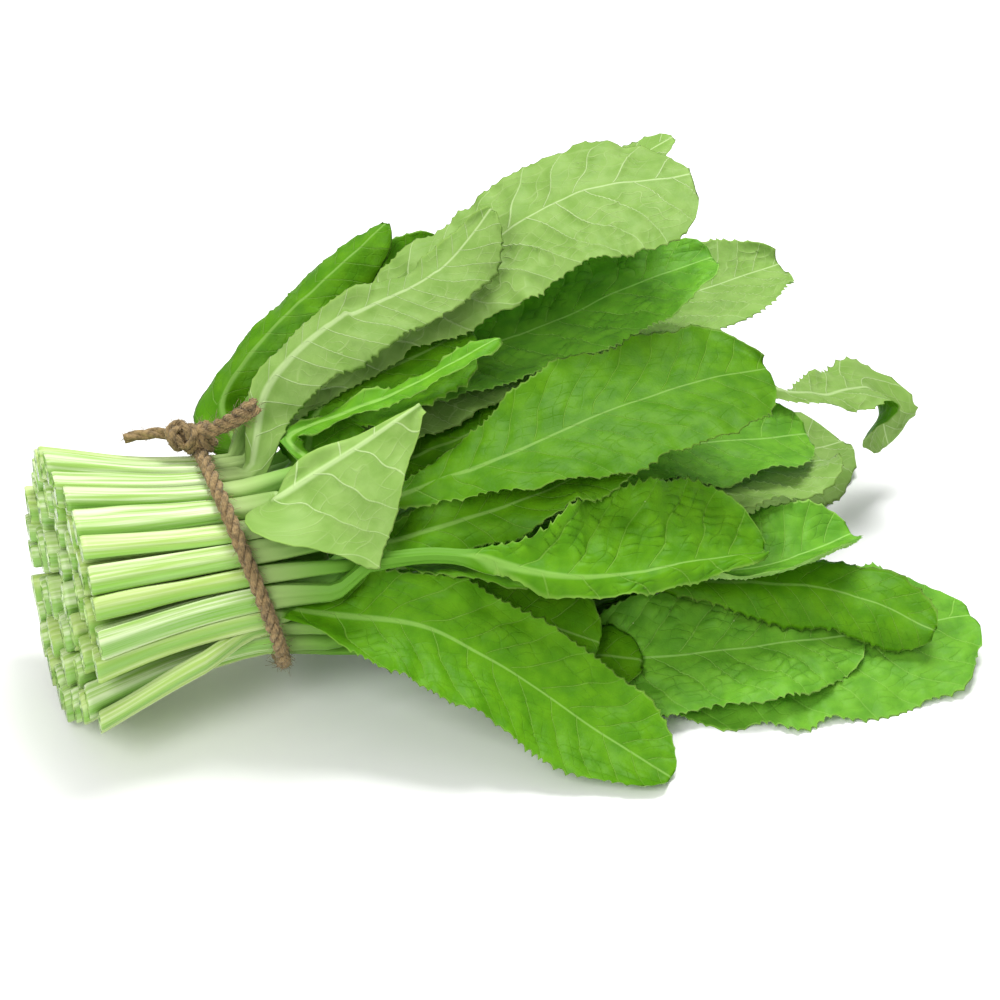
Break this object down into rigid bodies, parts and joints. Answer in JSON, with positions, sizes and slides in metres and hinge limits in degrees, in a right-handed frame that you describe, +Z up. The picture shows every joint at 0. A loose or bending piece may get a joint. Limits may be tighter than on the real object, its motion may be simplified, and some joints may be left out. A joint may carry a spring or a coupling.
{
  "type": "mustard greens bunch",
  "caption": "Bunch of fresh leafy mustard stems lying on its side, cut straight at one end, fanned out at the other and tied round the stalks with a knotted jute cord.",
  "frame": {"origin": "middle of the bunch's footprint, on the surface that it lies on", "axes": "+X from the cut stalk ends towards the leaf tips, +Y to the back, +Z up"},
  "size_m": [0.3583, 0.2575, 0.1716],
  "materials": {
    "leaf": "fresh leaf: thin, slightly waxy, lets some light through, pale raised veins below",
    "jute": "natural brown jute cord of three twisted strands, matt and hairy"
  },
  "bodies": {
    "root": {"leaf_0_19": "leaf", "right_floor": "leaf", "leaf_0_20": "leaf", "front_low": "leaf", "back_low": "leaf", "leaf_0_16": "leaf", "leaf_0_22": "leaf", "right_curled": "leaf", "leaf_1_9": "leaf", "front_stray": "leaf", "front_dark": "leaf", "leaf_2_5": "leaf", "right_shelf": "leaf", "leaf_0_23": "leaf", "leaf_1_10": "leaf", "leaf_2_6": "leaf", "leaf_2_4": "leaf", "leaf_0_24": "leaf", "pale_low": "leaf", "leaf_3_1": "leaf", "leaf_0_25": "leaf", "front_drooping": "leaf", "leaf_1_11": "leaf", "leaf_2_0": "leaf", "front_filling": "leaf", "leaf_3_0": "leaf", "leaf_2_3": "leaf", "middle_wide": "leaf", "front_folded": "leaf", "pale_back": "leaf", "leaf_2_1": "leaf", "leaf_2_2": "leaf", "dark_inner": "leaf", "pale_far": "leaf", "middle_folded": "leaf", "upper_dull": "leaf", "upper_toothed": "leaf", "middle_bright": "leaf", "back_tip": "leaf", "front_torn": "leaf", "top_inner": "leaf", "edge_on_bright": "leaf", "top_rolled_front": "leaf", "top_rolled_back": "leaf", "top_pale_large": "leaf", "snapped_stalk": "leaf", "top_pale_small": "leaf", "jute_tie": "jute"}
  },
  "joints": []
}
